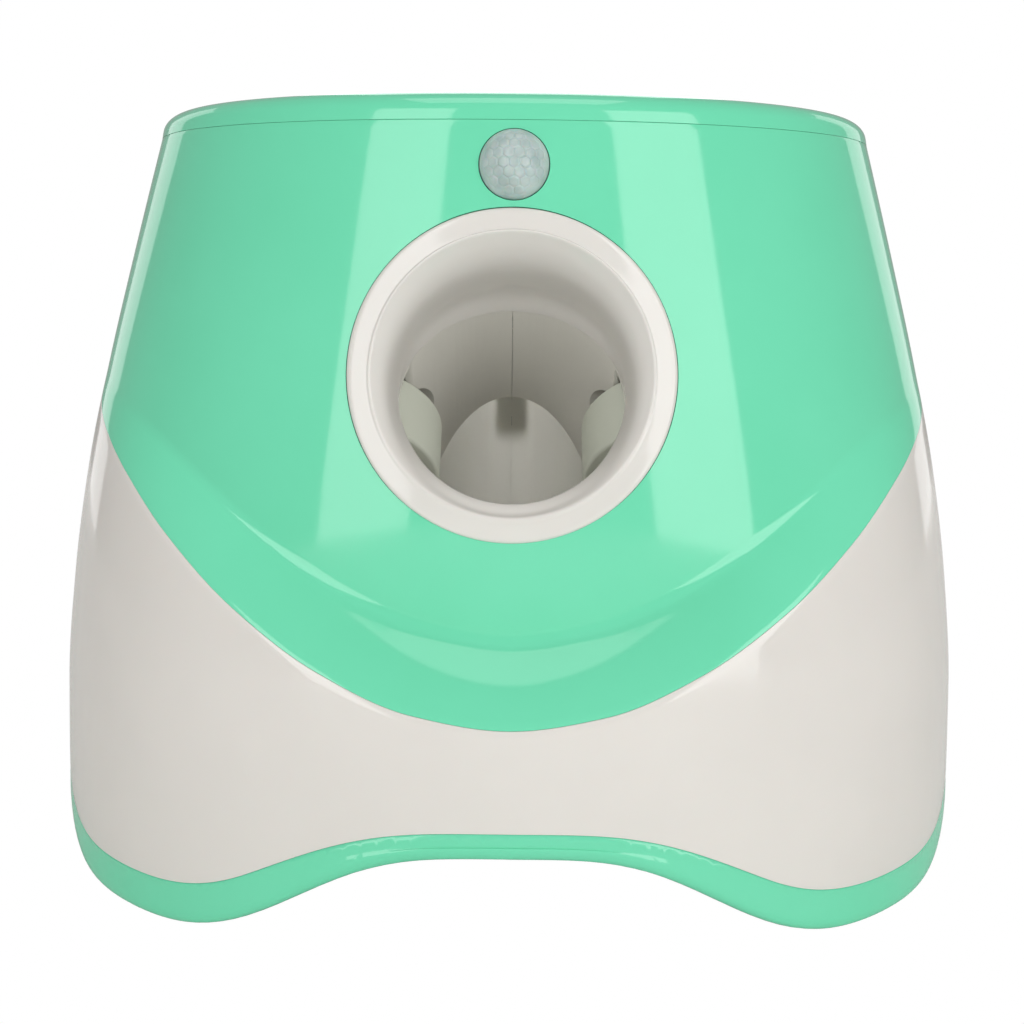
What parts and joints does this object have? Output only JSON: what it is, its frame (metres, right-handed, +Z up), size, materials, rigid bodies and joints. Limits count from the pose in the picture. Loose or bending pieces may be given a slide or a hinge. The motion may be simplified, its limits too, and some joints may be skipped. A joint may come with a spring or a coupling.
{
  "type": "automatic dog ball launcher",
  "caption": "Free-standing automatic ball launcher for dogs: hopper on top, sloping barrel with a round muzzle in front, flywheels, motion sensor and arched four-foot base.",
  "frame": {"origin": "on the floor under the middle of the body", "axes": "+Z up, -Y towards the side that the ball leaves from, +X to the right seen from the front"},
  "size_m": [0.264, 0.264, 0.208],
  "materials": {
    "green_abs": "moulded gloss",
    "white_abs": "moulded gloss",
    "ring_abs": "moulded gloss",
    "chamber_abs": "moulded satin",
    "wheel_rubber": "moulded soft rubber",
    "hub_nylon": "moulded",
    "shaft_steel": "ground",
    "zinc_can": "plated",
    "bracket_abs": "moulded",
    "pad_rubber": "moulded",
    "lens_polyethylene": "translucent, faceted",
    "circuit_board": "solder mask",
    "component_black": "moulded",
    "nickel_plate": "plated",
    "gate_acetal": "moulded",
    "lamp_acrylic": "polished",
    "zinc_screw": "zinc plated"
  },
  "bodies": {
    "root": {"base_screws": "zinc_screw", "base_tray": "green_abs", "battery_contacts": "nickel_plate", "battery_tray": "bracket_abs", "board_components": "component_black", "board_posts": "bracket_abs", "body_bosses": "bracket_abs", "body_shell": "white_abs", "button_switches": "component_black", "chamber_left": "chamber_abs", "chamber_right": "chamber_abs", "chamber_screws": "zinc_screw", "control_board": "circuit_board", "control_panel": "ring_abs", "foot_pad_front_left": "pad_rubber", "foot_pad_front_right": "pad_rubber", "foot_pad_rear_left": "pad_rubber", "foot_pad_rear_right": "pad_rubber", "front_shield": "green_abs", "gate_bracket": "bracket_abs", "gate_gearmotor": "zinc_can", "hopper_funnel": "green_abs", "main_board": "circuit_board", "motor_bracket_left": "bracket_abs", "motor_bracket_right": "bracket_abs", "motor_left": "zinc_can", "motor_right": "zinc_can", "motor_screws": "zinc_screw", "muzzle_ring": "ring_abs", "panel_frame": "bracket_abs", "power_inlet": "component_black", "sensor_board": "circuit_board", "sensor_bracket": "bracket_abs", "sensor_element": "zinc_can", "sensor_lens": "lens_polyethylene", "speaker": "component_black", "speaker_mount": "bracket_abs", "status_lamps": "lamp_acrylic"},
    "left_wheel": {"flywheel_hub_left": "hub_nylon", "flywheel_tyre_left": "wheel_rubber", "motor_shaft_left": "shaft_steel"},
    "right_wheel": {"flywheel_hub_right": "hub_nylon", "flywheel_tyre_right": "wheel_rubber", "motor_shaft_right": "shaft_steel"},
    "gate": {"feed_gate": "gate_acetal", "gate_shaft": "shaft_steel"},
    "power_key": {"power_button": "green_abs"},
    "distance_key": {"distance_button": "green_abs"},
    "bay_door": {"battery_door": "green_abs"}
  },
  "joints": [
    {"name": "left_wheel_spin", "type": "hinge", "parent": "root", "child": "left_wheel", "pos_m": [-0.0458, -0.07092, 0.11804], "axis": [0, 0.6428, 0.766], "continuous": true},
    {"name": "right_wheel_spin", "type": "hinge", "parent": "root", "child": "right_wheel", "pos_m": [0.0458, -0.07092, 0.11804], "axis": [0, -0.6428, -0.766], "continuous": true},
    {"name": "gate_swing", "type": "hinge", "parent": "root", "child": "gate", "pos_m": [0, 0.02, 0.16], "axis": [1, 0, 0], "range_deg": [0, 80]},
    {"name": "power_press", "type": "slide", "parent": "root", "child": "power_key", "axis": [0, -0.9724, -0.2334], "range_m": [0, 0.0012], "stiffness_N_per_m": 300, "springref_m": -0.0008},
    {"name": "distance_press", "type": "slide", "parent": "root", "child": "distance_key", "axis": [0, -0.9724, -0.2334], "range_m": [0, 0.0012], "stiffness_N_per_m": 300, "springref_m": -0.0008},
    {"name": "door_slide", "type": "slide", "parent": "root", "child": "bay_door", "axis": [0, 1, 0], "range_m": [0, 0.012]}
  ]
}
